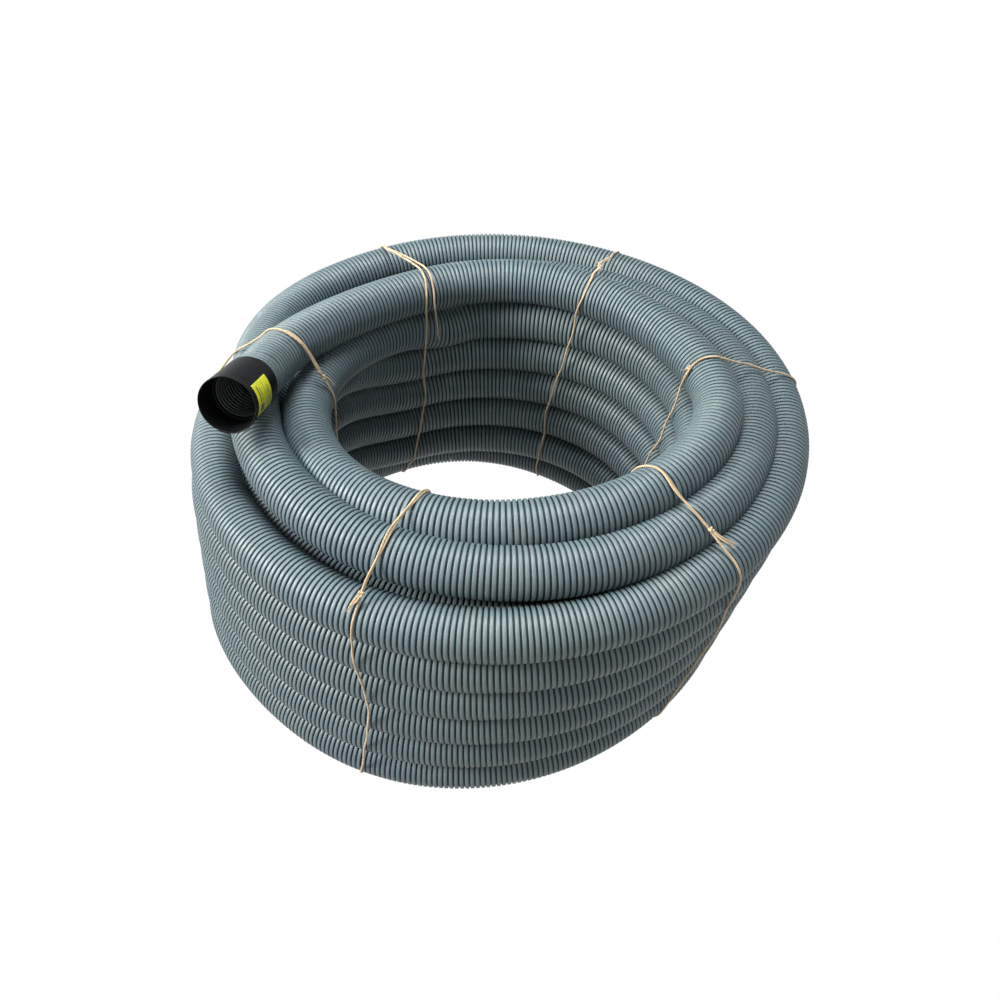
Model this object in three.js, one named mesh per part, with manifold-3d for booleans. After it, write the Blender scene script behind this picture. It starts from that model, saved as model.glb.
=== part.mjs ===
// A coil of ribbed waste hose with a push-on coupling on its upper end, held by six twine ties.
// Millimetres, +Z up. The coil stands on z = 0 about the origin, and the coupling faces -Y.
import * as THREE from "three";
import { mergeVertices } from "three/addons/utils/BufferGeometryUtils.js";
import Module from "manifold-3d";

const wasm = await Module();
wasm.setup();

// Hose
const HOSE = 82; // outside diameter over the ribs
const HOSE_BORE = 73;
const RIB_VALLEY = 76; // outside diameter in the valleys between the ribs
const RIB_PITCH = 8.6;
const GAP = 0.4; // clearance between neighbouring pieces

// Coil, with its three columns of turns
const LAYER_RISE = 0.95 * HOSE; // the ribs of one layer sink a little into the next
const LAYERS = 6;
const OUTER_COLUMN = 6.03 * HOSE;
const MIDDLE_COLUMN = 4.99 * HOSE;
const INNER_COLUMN = 3.92 * HOSE;
const FOOT_COLUMN = 4.5 * HOSE; // the lowest inner turn stands further out than those above it
const OUTER_TOP = HOSE / 2 + (LAYERS - 1) * LAYER_RISE;
const MIDDLE_TOP = OUTER_TOP + 0.6 * HOSE;
const INNER_TOP = OUTER_TOP - 0.03 * HOSE;
const BOTTOM_LEAN = -0.85 * HOSE; // the coil leans, so its foot sits off to one side
const LEAN_SLOPE = 0.161;
const COIL_TURN = THREE.MathUtils.degToRad(8); // puts the coupling square to the axes
const COIL_CENTRE = new THREE.Vector3(39, -26, 0); // brings the middle of the whole coil over the origin

// The free lead and the top turn, in hose diameters in the coil's own axes, from the hose's end on
const LEAD_ROUTE = [
  [-4.6, -0.25, 6.94],
  [-4.35, 0.45, 6.82],
  [-3.95, 1.15, 6.7],
  [-3.4, 1.85, 6.58],
  [-2.72, 2.52, 6.47],
  [-1.9, 3.12, 6.38],
  [-1.0, 3.55, 6.32],
  [0.0, 3.74, 6.28],
  [1.0, 3.64, 6.27],
  [1.92, 3.26, 6.27],
  [2.74, 2.66, 6.28],
  [3.42, 1.9, 6.29],
  [3.96, 1.02, 6.3],
  [4.32, 0.08, 6.3],
  [4.4, -0.85, 6.3],
  [4.14, -1.74, 6.3],
  [3.62, -2.54, 6.3],
  [2.9, -3.22, 6.3],
  [2.02, -3.74, 6.3],
  [1.04, -4.06, 6.3],
  [0.0, -4.18, 6.29],
  [-1.02, -4.05, 6.26],
  [-1.96, -3.67, 6.2],
  [-2.78, -3.07, 6.12],
  [-3.42, -2.28, 6.03],
  [-3.84, -1.36, 5.94],
  [-4.02, -0.38, 5.85],
  [-3.94, 0.6, 5.76],
  [-3.62, 1.5, 5.67],
  [-3.06, 2.3, 5.56],
  [-2.32, 2.96, 5.42],
  [-1.42, 3.42, 5.2],
];
const LEAD_STEPS = 64;
const LEAD_SIDES = 12;
const LEAD_SAMPLES = 400; // places looked at to find where a tie meets the lead
const SAME_SIDE = 0.3; // radians: a crossing further off than this is on the coil's far side
const LEAD_OVERRUN = 16; // the swept tube starts this far inside the straight end and is cut square

// The last straight stretch of hose and the coupling on it
const MOUTH_CENTRE = [-4.93, -2.36, 7.57]; // in hose diameters in the coil's own axes
const MOUTH_TILT = THREE.MathUtils.degToRad(18);
const COUPLING_LENGTH = 96;
const SOCKET_DEPTH = 46;
const COUPLING_REAR = 43.9; // outside radii of the coupling
const COUPLING_MOUTH = 45.6;
const SOCKET_RADIUS = HOSE / 2 + 0.6;
const MOUTH_SOCKET_RADIUS = 42.2;
const STOP_RADIUS = 39.6;
const STOP_WIDTH = 3;
const STRAIGHT_END = 74; // length of the straight hose end
const BORE_FLOOR = 6;
const SEAL_PLACE = 2; // the seal sits in this valley, counted from the hose's end
const LABEL_LENGTH = 54;
const LABEL_ARC = THREE.MathUtils.degToRad(66);
const LABEL_MIDDLE = THREE.MathUtils.degToRad(7);
const LABEL_THICKNESS = 0.6;
const LABEL_INSET = 12; // from the coupling's mouth to the label's edge
const LIP = 8; // length of the flared lip at the mouth

// Twine ties
const TWINE = 3.4;
const TIE_CLEARANCE = 4;
const CHANNEL_WIDTH = 9;
const CHANNEL_HEIGHT = 6;
const TIE_BOTTOM = 3;
const KNOT = 4.3;
const TIE_SIDES = 8;
const TIE_STEP = 90; // longest straight step of a tie, except along the floor
const TAIL_OUT = 0.5; // how a tail leaves its knot, in parts of the tail's length
const TAIL_SIDE = 0.35;
const TAIL_ALONG = 0.6;
const TAIL_BOW = 4;
const degrees = THREE.MathUtils.degToRad;
const TIES = [
  { name: "tie_left", outer: degrees(176), inner: degrees(178), knot: [3.6, 6.4], tail: 42 },
  { name: "tie_back_left", outer: degrees(120), inner: degrees(119), knot: [6.4, 5.9], tail: 36 },
  { name: "tie_front_left", outer: degrees(248), inner: degrees(248), knot: [6.2, 5.6], tail: 38 },
  { name: "tie_front_right", outer: degrees(312), inner: degrees(306), knot: [5.4, 6.2], tail: 52 },
  { name: "tie_right", outer: degrees(365), inner: degrees(366), knot: [3.5, 6.5], tail: 34 },
  { name: "tie_back_right", outer: degrees(61), inner: degrees(65), knot: [4.7, 6.6], tail: 40 },
];

// Materials
const plastic = (color, roughness) => new THREE.MeshStandardMaterial({ color, roughness, metalness: 0 });
const HOSE_GREY = plastic(0x74808a, 0.5);
const COUPLING_BLACK = plastic(0x16171a, 0.4);
const SEAL_RUBBER = plastic(0x232323, 0.8);
const LABEL_YELLOW = plastic(0xd8d51c, 0.5);
const TWINE_TAN = plastic(0xb9935f, 0.9);

// Manifold solid of a closed geometry, and back again
function solid(geometry) {
  const bare = geometry.clone();
  bare.deleteAttribute("normal");
  bare.deleteAttribute("uv");
  const merged = mergeVertices(bare, 1e-3);
  return new wasm.Manifold(
    new wasm.Mesh({
      numProp: 3,
      vertProperties: merged.attributes.position.array,
      triVerts: new Uint32Array(merged.index.array),
    }),
  );
}

function geometryOf(body) {
  const mesh = body.getMesh();
  const geometry = new THREE.BufferGeometry();
  geometry.setAttribute("position", new THREE.BufferAttribute(new Float32Array(mesh.vertProperties), 3));
  geometry.setIndex(new THREE.BufferAttribute(new Uint32Array(mesh.triVerts), 1));
  geometry.computeVertexNormals();
  return geometry;
}

function piece(name, geometry, material) {
  const mesh = new THREE.Mesh(geometry, material);
  mesh.name = name;
  return mesh;
}

// The coil's own axes, turned and moved to the part's frame
function fromCoilAxes(x, y, z) {
  return new THREE.Vector3(x, y, z).applyAxisAngle(new THREE.Vector3(0, 0, 1), COIL_TURN).add(COIL_CENTRE);
}

// The coil is slightly oval, more so in its inner turns, and each column has its own centre.
const ovality = (radius) => 1.003 + (0.04 * (OUTER_COLUMN - radius)) / HOSE;
const centreX = (z) => BOTTOM_LEAN + LEAN_SLOPE * z;
const centreY = (radius) => 0.2085 * (radius - INNER_COLUMN) - 0.17 * HOSE;

function coilPoint(radius, angle, z) {
  const x = centreX(z) + radius * ovality(radius) * Math.cos(angle);
  const y = centreY(radius) + radius * Math.sin(angle);
  return fromCoilAxes(x, y, z);
}

// Radius, angle and height of a point given in the coil's own axes
function coilPlace(x, y, z) {
  let radius = MIDDLE_COLUMN;
  let angle = 0;
  for (let pass = 0; pass < 12; pass++) {
    const across = (x - centreX(z)) / ovality(radius);
    const along = y - centreY(radius);
    radius = Math.hypot(across, along);
    angle = Math.atan2(along, across);
  }
  return { radius, angle, z };
}

// Points of an arc of one turn's round section, in the plane of radius and height
function turnPoint(radius, z, angle, size = HOSE / 2) {
  return new THREE.Vector2(radius + size * Math.cos(angle), z + size * Math.sin(angle));
}

function turnArc(radius, z, fromDegrees, toDegrees, steps, size = HOSE / 2) {
  const points = [];
  for (let i = 0; i <= steps; i++) {
    const angle = degrees(fromDegrees + ((toDegrees - fromDegrees) * i) / steps);
    points.push(turnPoint(radius, z, angle, size));
  }
  return points;
}

// Points all round one turn's section
const turnRing = (radius, z, size) => turnArc(radius, z, 0, 345, 23, size);

// Height of a layer of the inner column
const innerHeight = (layer) => HOSE / 2 + (layer * (INNER_TOP - HOSE / 2)) / (LAYERS - 1);

// The packed coil: the scalloped section of its three columns, swept round
function coilGeometry() {
  const profile = [new THREE.Vector2(FOOT_COLUMN, 0), new THREE.Vector2(OUTER_COLUMN, 0)];
  for (let layer = 0; layer < LAYERS; layer++) {
    const z = HOSE / 2 + layer * LAYER_RISE;
    profile.push(...turnArc(OUTER_COLUMN, z, -50, 50, 2));
  }
  profile.push(turnPoint(OUTER_COLUMN, OUTER_TOP, degrees(100)));
  profile.push(...turnArc(MIDDLE_COLUMN, MIDDLE_TOP, 40, 140, 2));
  profile.push(...turnArc(INNER_COLUMN, INNER_TOP, 60, 110, 1));
  for (let layer = LAYERS - 1; layer > 0; layer--) {
    profile.push(...turnArc(INNER_COLUMN, innerHeight(layer), 130, 230, 2));
  }
  profile.push(...turnArc(FOOT_COLUMN, innerHeight(0), 150, 230, 2));
  profile.push(profile[0].clone());
  const ring = new THREE.LatheGeometry(profile, 40);
  ring.rotateX(Math.PI / 2);
  const place = ring.attributes.position;
  for (let i = 0; i < place.count; i++) {
    const radius = Math.hypot(place.getX(i), place.getY(i));
    const angle = Math.atan2(place.getY(i), place.getX(i));
    const moved = coilPoint(radius, angle, place.getZ(i));
    place.setXYZ(i, moved.x, moved.y, moved.z);
  }
  return ring;
}

// A route through explicit points, one step for each, so that a sweep keeps every corner
class Route extends THREE.Curve {
  constructor(points) {
    super();
    this.points = points;
  }
  getPoint(t) {
    const place = Math.min(Math.max(t, 0), 1) * (this.points.length - 1);
    const i = Math.min(Math.floor(place), this.points.length - 2);
    return this.points[i].clone().lerp(this.points[i + 1], place - i);
  }
  getPointAt(u) {
    return this.getPoint(u);
  }
  getTangentAt(u) {
    const step = 0.5 / (this.points.length - 1);
    return this.getPoint(u + step).sub(this.getPoint(u - step)).normalize();
  }
}

function sweep(points, radius, sides) {
  const section = new THREE.Shape(
    Array.from({ length: sides }, (_, i) => {
      const angle = (2 * Math.PI * i) / sides;
      return new THREE.Vector2(radius * Math.cos(angle), radius * Math.sin(angle));
    }),
  );
  const steps = points.length - 1;
  return new THREE.ExtrudeGeometry(section, { steps, extrudePath: new Route(points), curveSegments: 1 });
}

// The coupling's axis and the places along it
const axis = new THREE.Vector3(0, -Math.cos(MOUTH_TILT), Math.sin(MOUTH_TILT));
const mouth = fromCoilAxes(...MOUTH_CENTRE.map((value) => value * HOSE));
const rear = mouth.clone().addScaledVector(axis, -COUPLING_LENGTH);
const hoseEnd = rear.clone().addScaledVector(axis, SOCKET_DEPTH - GAP);
const straightStart = hoseEnd.clone().addScaledVector(axis, -STRAIGHT_END);

// The lead and top turn, from just behind the straight end
const routePoints = LEAD_ROUTE.map((place) => fromCoilAxes(...place.map((value) => value * HOSE)));
const leadCurve = new THREE.CatmullRomCurve3([
  straightStart.clone().addScaledVector(axis, LEAD_OVERRUN),
  straightStart.clone().addScaledVector(axis, -LEAD_OVERRUN),
  ...routePoints,
]);

// The tube is trimmed where it sinks into the packed coil, and cut square where the straight end starts.
function leadGeometry(coilSolid) {
  const shifts = [[0, 0, 1], [1, 0, 0.5], [-1, 0, 0.5], [0, 1, 0.5], [0, -1, 0.5]];
  let tube = solid(sweep(leadCurve.getSpacedPoints(LEAD_STEPS), HOSE / 2, LEAD_SIDES));
  for (const shift of shifts) tube = tube.subtract(coilSolid.translate(shift.map((value) => value * GAP)));
  tube = tube.subtract(coilSolid);
  const cutter = new THREE.CylinderGeometry(HOSE, HOSE, 4 * LEAD_OVERRUN, 16);
  cutter.applyQuaternion(new THREE.Quaternion().setFromUnitVectors(new THREE.Vector3(0, 1, 0), axis));
  const cutterMiddle = straightStart.clone().addScaledVector(axis, 2 * LEAD_OVERRUN - GAP);
  tube = tube.subtract(solid(cutter.translate(...cutterMiddle)));
  const bodies = tube.decompose().sort((a, b) => b.volume() - a.volume());
  return geometryOf(bodies[0]);
}

// Straight hose end with its ribs, hollow from the mouth to the floor of the modelled bore
function hoseEndGeometry() {
  const profile = [
    new THREE.Vector2(0, 0),
    new THREE.Vector2(HOSE / 2, 0),
    new THREE.Vector2(HOSE / 2, STRAIGHT_END - 3.7 * RIB_PITCH),
  ];
  for (let rib = 3; rib >= 1; rib--) {
    const valley = STRAIGHT_END - rib * RIB_PITCH;
    profile.push(new THREE.Vector2(HOSE / 2, valley - 0.5 * RIB_PITCH));
    profile.push(new THREE.Vector2(RIB_VALLEY / 2, valley - 0.32 * RIB_PITCH));
    profile.push(new THREE.Vector2(RIB_VALLEY / 2, valley + 0.02 * RIB_PITCH));
    profile.push(new THREE.Vector2(HOSE / 2, valley + 0.2 * RIB_PITCH));
  }
  profile.push(new THREE.Vector2(HOSE / 2, STRAIGHT_END));
  profile.push(new THREE.Vector2(HOSE_BORE / 2, STRAIGHT_END));
  profile.push(new THREE.Vector2(HOSE_BORE / 2, BORE_FLOOR));
  profile.push(new THREE.Vector2(0, BORE_FLOOR));
  return new THREE.LatheGeometry(profile, 36).rotateX(Math.PI / 2);
}

function couplingGeometry() {
  const stopEnd = SOCKET_DEPTH + STOP_WIDTH;
  const profile = [
    [COUPLING_REAR, 0],
    [COUPLING_MOUTH - 0.4, COUPLING_LENGTH - LIP],
    [COUPLING_MOUTH, COUPLING_LENGTH],
    [COUPLING_MOUTH - 2.4, COUPLING_LENGTH],
    [MOUTH_SOCKET_RADIUS, COUPLING_LENGTH - LIP],
    [MOUTH_SOCKET_RADIUS, stopEnd],
    [STOP_RADIUS, stopEnd],
    [STOP_RADIUS, SOCKET_DEPTH],
    [SOCKET_RADIUS, SOCKET_DEPTH],
    [SOCKET_RADIUS, 1],
    [SOCKET_RADIUS + 0.6, 0],
    [COUPLING_REAR, 0],
  ];
  const points = profile.map(([radius, z]) => new THREE.Vector2(radius, z));
  return new THREE.LatheGeometry(points, 48).rotateX(Math.PI / 2);
}

// Rubber seal in a valley of the hose end, inside the coupling's socket
function sealGeometry() {
  const valley = SOCKET_DEPTH - GAP - SEAL_PLACE * RIB_PITCH - 0.15 * RIB_PITCH;
  const inside = RIB_VALLEY / 2 + GAP;
  const outside = SOCKET_RADIUS - GAP;
  const half = 0.14 * RIB_PITCH;
  const points = [
    new THREE.Vector2(inside, valley - half),
    new THREE.Vector2(outside - 0.5, valley - half),
    new THREE.Vector2(outside, valley),
    new THREE.Vector2(outside - 0.5, valley + half),
    new THREE.Vector2(inside, valley + half),
    new THREE.Vector2(inside, valley - half),
  ];
  return new THREE.LatheGeometry(points, 48).rotateX(Math.PI / 2);
}

// Thin curved label wrapped on the coupling's side
function labelGeometry() {
  const steps = 10;
  const inside = COUPLING_MOUTH + GAP;
  const outline = new THREE.Shape();
  const start = LABEL_MIDDLE - LABEL_ARC / 2;
  const ring = (radius, i) => {
    const angle = start + (LABEL_ARC * i) / steps;
    return [radius * Math.cos(angle), radius * Math.sin(angle)];
  };
  outline.moveTo(...ring(inside, 0));
  for (let i = 0; i <= steps; i++) outline.lineTo(...ring(inside + LABEL_THICKNESS, i));
  for (let i = steps; i > 0; i--) outline.lineTo(...ring(inside, i));
  const plate = new THREE.ExtrudeGeometry(outline, { depth: LABEL_LENGTH, bevelEnabled: false });
  return plate.translate(0, 0, COUPLING_LENGTH - LABEL_LENGTH - LABEL_INSET);
}

// Taut loop round a cloud of points in the plane of radius and height
function tautLoop(cloud) {
  const turn = (a, b, c) => (b.x - a.x) * (c.y - a.y) - (b.y - a.y) * (c.x - a.x);
  const sorted = cloud.sort((a, b) => a.x - b.x || a.y - b.y);
  const chain = (points) => {
    const kept = [];
    for (const point of points) {
      while (kept.length > 1 && turn(kept[kept.length - 2], kept[kept.length - 1], point) <= 0) kept.pop();
      kept.push(point);
    }
    return kept.slice(0, -1);
  };
  return [...chain(sorted), ...chain(sorted.reverse())];
}

// Outline of the lead and the top turn where they pass the given angle, a twine's clearance away
function leadOutline(angle, size) {
  const found = [];
  const upright = new THREE.Vector3(0, 0, 1);
  const samples = leadCurve
    .getPoints(LEAD_SAMPLES)
    .map((point) => point.clone().sub(COIL_CENTRE).applyAxisAngle(upright, -COIL_TURN));
  const gapTo = ({ x, y, z }) => {
    const away = coilPlace(x, y, z).angle - angle;
    return Math.atan2(Math.sin(away), Math.cos(away));
  };
  const outward = new THREE.Vector3(Math.cos(angle), Math.sin(angle), 0);
  for (let i = 1; i < samples.length; i++) {
    const before = gapTo(samples[i - 1]);
    if (before * gapTo(samples[i]) > 0 || Math.abs(before) > SAME_SIDE) continue;
    for (const { x, y } of turnRing(0, 0, size)) {
      const place = samples[i].clone().addScaledVector(outward, x).addScaledVector(upright, y);
      const { radius, z } = coilPlace(place.x, place.y, place.z);
      found.push(new THREE.Vector2(radius, z));
    }
  }
  return found;
}

function tieLoop(tie) {
  const reach = (radius) => (radius - INNER_COLUMN) / (OUTER_COLUMN - INNER_COLUMN);
  const angleAt = (radius) => tie.inner + (tie.outer - tie.inner) * reach(radius);
  const size = HOSE / 2 + TWINE / 2 + TIE_CLEARANCE;
  const turns = [
    [OUTER_COLUMN, HOSE / 2],
    [OUTER_COLUMN, OUTER_TOP],
    [MIDDLE_COLUMN, MIDDLE_TOP],
    [FOOT_COLUMN, innerHeight(0)],
    [INNER_COLUMN, innerHeight(1)],
    [INNER_COLUMN, INNER_TOP],
  ];
  const leadAngles = [0, 0.15, 0.3, 0.45].map((part) => tie.inner + part * (tie.outer - tie.inner));
  const corners = tautLoop([
    ...turns.flatMap(([radius, z]) => turnRing(radius, z, size)),
    ...leadAngles.flatMap((angle) => leadOutline(angle, size)),
  ]);
  const lifted = corners.map((corner) => new THREE.Vector2(corner.x, Math.max(corner.y, TIE_BOTTOM)));
  const [knotRadius, knotHeight] = tie.knot.map((value) => value * HOSE);
  const target = new THREE.Vector2(knotRadius, knotHeight);
  let first = 0;
  lifted.forEach((corner, i) => {
    if (corner.distanceTo(target) < lifted[first].distanceTo(target)) first = i;
  });
  const ordered = [...lifted.slice(first), ...lifted.slice(0, first)];
  const bottom = ordered.filter((corner) => corner.y === TIE_BOTTOM).map((corner) => corner.x);
  const bottomEnds = [Math.min(...bottom), Math.max(...bottom)];
  const loop = [];
  ordered.forEach((corner, i) => {
    if (corner.y === TIE_BOTTOM && !bottomEnds.includes(corner.x)) return;
    const next = ordered[(i + 1) % ordered.length];
    const alongFloor = corner.y === TIE_BOTTOM && next.y === TIE_BOTTOM;
    const runs = alongFloor ? 1 : Math.ceil(corner.distanceTo(next) / TIE_STEP);
    for (let step = 0; step < runs; step++) {
      const place = corner.clone().lerp(next, step / runs);
      loop.push(coilPoint(place.x, angleAt(place.x), place.y));
    }
  });
  const ends = bottomEnds.map((radius) => coilPoint(radius, angleAt(radius), 0));
  return { loop, ends };
}

// A tie is its loop, the knot that closes it and two short tails
function tieGeometry(tie) {
  const { loop } = tieLoop(tie);
  const knotCentre = loop[0];
  const outward = knotCentre.clone().sub(coilPoint(MIDDLE_COLUMN, tie.outer, MIDDLE_TOP / 2)).normalize();
  const along = loop[1].clone().sub(knotCentre).normalize();
  const side = new THREE.Vector3().crossVectors(outward, along).normalize();
  let whole = solid(sweep([...loop, knotCentre.clone()], TWINE / 2, TIE_SIDES));
  const knot = new THREE.IcosahedronGeometry(KNOT, 1);
  knot.translate(knotCentre.x, knotCentre.y, knotCentre.z);
  whole = whole.add(solid(knot));
  for (const sign of [-1, 1]) {
    const tip = knotCentre
      .clone()
      .addScaledVector(outward, TAIL_OUT * tie.tail)
      .addScaledVector(side, sign * TAIL_SIDE * tie.tail)
      .addScaledVector(along, TAIL_ALONG * tie.tail);
    const middle = knotCentre.clone().lerp(tip, 0.5).addScaledVector(outward, TAIL_BOW);
    whole = whole.add(solid(sweep([knotCentre, middle, tip], TWINE / 2.4, 6)));
  }
  return geometryOf(whole);
}

// Radial channel under the coil where a tie passes beneath it
function channelSolid(tie) {
  const [near, far] = tieLoop(tie).ends;
  const bar = new THREE.BoxGeometry(near.distanceTo(far) + 2 * HOSE, CHANNEL_WIDTH, 2 * CHANNEL_HEIGHT);
  const middle = near.clone().lerp(far, 0.5);
  bar.rotateZ(Math.atan2(far.y - near.y, far.x - near.x));
  bar.translate(middle.x, middle.y, 0);
  return solid(bar);
}

function buildHoseCoil() {
  const group = new THREE.Group();
  let coilSolid = solid(coilGeometry());
  const uncut = coilSolid;
  for (const tie of TIES) coilSolid = coilSolid.subtract(channelSolid(tie));
  group.add(piece("hose_coil", geometryOf(coilSolid), HOSE_GREY));
  group.add(piece("hose_top_turn", leadGeometry(uncut), HOSE_GREY));
  for (const tie of TIES) group.add(piece(tie.name, tieGeometry(tie), TWINE_TAN));

  const couplingGroup = new THREE.Group();
  couplingGroup.position.copy(rear);
  couplingGroup.quaternion.setFromUnitVectors(new THREE.Vector3(0, 0, 1), axis);
  couplingGroup.add(piece("coupling", couplingGeometry(), COUPLING_BLACK));
  couplingGroup.add(piece("coupling_label", labelGeometry(), LABEL_YELLOW));
  couplingGroup.add(piece("seal_ring", sealGeometry(), SEAL_RUBBER));
  const end = piece("hose_end", hoseEndGeometry(), HOSE_GREY);
  end.position.z = SOCKET_DEPTH - GAP - STRAIGHT_END;
  couplingGroup.add(end);
  group.add(couplingGroup);
  return group;
}

export default buildHoseCoil();
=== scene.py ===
"""A coil of ribbed waste hose tied with twine, with a push-on coupling on its upper end.

Metres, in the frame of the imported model. Places on the coil are first worked out in the coil's own
axes, where lengths are in hose diameters, and then turned and moved into that frame.
"""
import math
import random

import bpy
import numpy as np
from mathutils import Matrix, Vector
from mathutils.kdtree import KDTree


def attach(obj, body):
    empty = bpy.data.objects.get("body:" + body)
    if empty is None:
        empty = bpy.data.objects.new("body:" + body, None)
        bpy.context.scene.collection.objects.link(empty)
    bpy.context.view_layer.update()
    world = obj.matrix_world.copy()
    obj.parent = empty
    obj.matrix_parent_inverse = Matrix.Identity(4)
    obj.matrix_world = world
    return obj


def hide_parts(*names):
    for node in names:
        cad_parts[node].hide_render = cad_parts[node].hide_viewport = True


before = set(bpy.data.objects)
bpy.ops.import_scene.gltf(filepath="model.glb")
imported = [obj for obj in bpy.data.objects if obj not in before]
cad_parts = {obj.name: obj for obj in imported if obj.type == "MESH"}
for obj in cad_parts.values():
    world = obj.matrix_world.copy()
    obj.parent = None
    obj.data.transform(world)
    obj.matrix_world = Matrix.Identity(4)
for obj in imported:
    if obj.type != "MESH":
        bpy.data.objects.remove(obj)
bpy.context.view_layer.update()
SCENE = bpy.context.scene
random.seed(7)

# ---------------------------------------------------------------- sizes
HOSE = 0.082  # over the ribs
RADIUS = HOSE / 2
PITCH = 0.0086  # from rib to rib
RIB_DEPTH = 0.0032
COIL_TURN = math.radians(8)
COIL_CENTRE = np.array([0.039, -0.026, 0.0])
OUTER, MIDDLE, INNER, FOOT = 6.03, 4.99, 3.92, 4.5  # radii of the columns, in hose diameters
OUTER_TAPER = 0.018  # each outer layer is this much tighter than the one above it
RISE = 0.95  # from layer to layer
FRONT_TOP = 5.25
INNER_TOP = 5.22
INNER_RISE = 0.944
MIDDLE_TOP = 6.18
MIDDLE_RISE = 0.97
MIDDLE_BOTTOM = 1.38
MIDDLE_DROP = 0.3  # how much deeper the middle turns lie below the top one
SLOPE = 0.43  # how far the top outer turn comes down in one round
MOUTH = (-4.93, -2.36, 7.57)
MOUTH_TILT = math.radians(18)
COUPLING_LENGTH = 0.096
SOCKET_DEPTH = 0.0456
STRAIGHT_END = 0.074

# The free lead and the top turn, from the hose's end on
LEAD_ROUTE = [
    (-4.6, -0.25, 6.94), (-4.35, 0.45, 6.82), (-3.95, 1.15, 6.7), (-3.4, 1.85, 6.58),
    (-2.72, 2.52, 6.47), (-1.9, 3.12, 6.38), (-1.0, 3.55, 6.32), (0.0, 3.74, 6.28),
    (1.0, 3.64, 6.27), (1.92, 3.26, 6.27), (2.74, 2.66, 6.28), (3.42, 1.9, 6.29),
    (3.96, 1.02, 6.3), (4.32, 0.08, 6.3), (4.4, -0.85, 6.3), (4.14, -1.74, 6.3),
    (3.62, -2.54, 6.3), (2.9, -3.22, 6.3), (2.02, -3.74, 6.3), (1.04, -4.06, 6.3),
    (0.0, -4.18, 6.29), (-1.02, -4.05, 6.26), (-1.96, -3.67, 6.2), (-2.78, -3.07, 6.12),
    (-3.42, -2.28, 6.03), (-3.84, -1.36, 5.94), (-4.02, -0.38, 5.85), (-3.94, 0.6, 5.76),
    (-3.62, 1.5, 5.67), (-3.06, 2.3, 5.56), (-2.32, 2.96, 5.42), (-1.42, 3.42, 5.2),
]


# ---------------------------------------------------------------- the coil's own axes
def to_frame(points):
    """Points in the coil's axes and hose diameters, as points in the frame in metres."""
    points = np.atleast_2d(np.asarray(points, float)) * HOSE
    c, s = math.cos(COIL_TURN), math.sin(COIL_TURN)
    turned = points @ np.array([[c, s, 0.0], [-s, c, 0.0], [0.0, 0.0, 1.0]])
    return turned + COIL_CENTRE


def spot(radius, angle, z):
    """A place on the coil, from its radius, polar angle in degrees and height."""
    a = math.radians(angle)
    oval = 1.003 + 0.04 * (6.03 - radius)
    x = -0.85 + 0.161 * z + radius * oval * math.cos(a)
    y = 0.2085 * (radius - INNER) - 0.17 + radius * math.sin(a)
    return (x, y, z)


def ease(x):
    x = min(max(x, 0.0), 1.0)
    return x * x * (3 - 2 * x)


# ---------------------------------------------------------------- camera
def make_camera():
    aim = np.array([0.0, 0.0, 2.67])
    tilt = math.radians(46)
    away = np.array([0.0, -math.cos(tilt), math.sin(tilt)])
    place = Vector(to_frame(aim + 21.62 * away)[0])
    data = bpy.data.cameras.new("camera")
    data.sensor_width = 36
    data.lens = 36 * 0.912
    data.clip_start = 0.05
    data.clip_end = 60
    camera = bpy.data.objects.new("camera", data)
    SCENE.collection.objects.link(camera)
    camera.location = place
    look = Vector(to_frame(aim)[0]) - place
    camera.rotation_euler = look.to_track_quat("-Z", "Y").to_euler()
    SCENE.camera = camera


make_camera()


# ---------------------------------------------------------------- the hose's route
# A run is a stretch of hose: its points, and whether its ribs show.
JOG = 25.0  # half the angle over which the hose steps to the next layer
JOG_AT = 140.0  # polar angle of those steps
STEP = 10.0
TO_FRONT = 230.0  # how far the outer column has turned when it passes the front


def outer_height(turned):
    """Height of the outer column after it has turned that many degrees."""
    layer = int(turned // 360)
    rest = turned - 360 * layer

    def start(k):
        return FRONT_TOP - RISE * k + SLOPE * (5 - k) / 5 * TO_FRONT / 310

    end = FRONT_TOP - RISE * layer - SLOPE * (5 - layer) / 5 * (310 - TO_FRONT) / 310
    if rest <= 310:
        return start(layer) + (end - start(layer)) * rest / 310
    return end + (start(layer + 1) - end) * ease((rest - 310) / 50)


def inner_place(phi):
    """Radius and height of the inner column at a polar angle that runs on, turn after turn."""
    z, radius = INNER_TOP, INNER
    for k in range(1, 6):
        passed = ease((JOG_AT - 360 * k + JOG - phi) / (2 * JOG))
        z -= INNER_RISE * passed
        if k == 5:
            radius += (FOOT - INNER - 0.22 * near(phi, 48, 26) - 0.05) * passed
    return radius, z


def stretch(start, end, place, step=STEP):
    """Points from one running polar angle down to another, with place(phi) giving radius and height."""
    count = max(1, round((start - end) / step))
    return [spot(*at(place, start + (end - start) * i / count)) for i in range(count + 1)]


def at(place, phi):
    radius, z = place(phi)
    return radius, phi, z


INNER_RIBS, OUTER_RIBS = 234.5, 361.5  # in a full turn; the half sets ribs between ribs
INNER_START = 99.0
FOOT_END = -1970.0
MIDDLE_END = -3770.0
OUTER_START = MIDDLE_END - 50


def middle_place(phi):
    u = ease((FOOT_END - phi) / 50)
    helix = MIDDLE_TOP - MIDDLE_RISE * (phi - MIDDLE_END) / 360
    helix -= MIDDLE_DROP * ease((phi - MIDDLE_END) / 360 * 2 - 1.4)
    z = 0.5 + (max(helix, MIDDLE_BOTTOM) - 0.5) * u
    return FOOT + (MIDDLE - FOOT) * u, z


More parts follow.
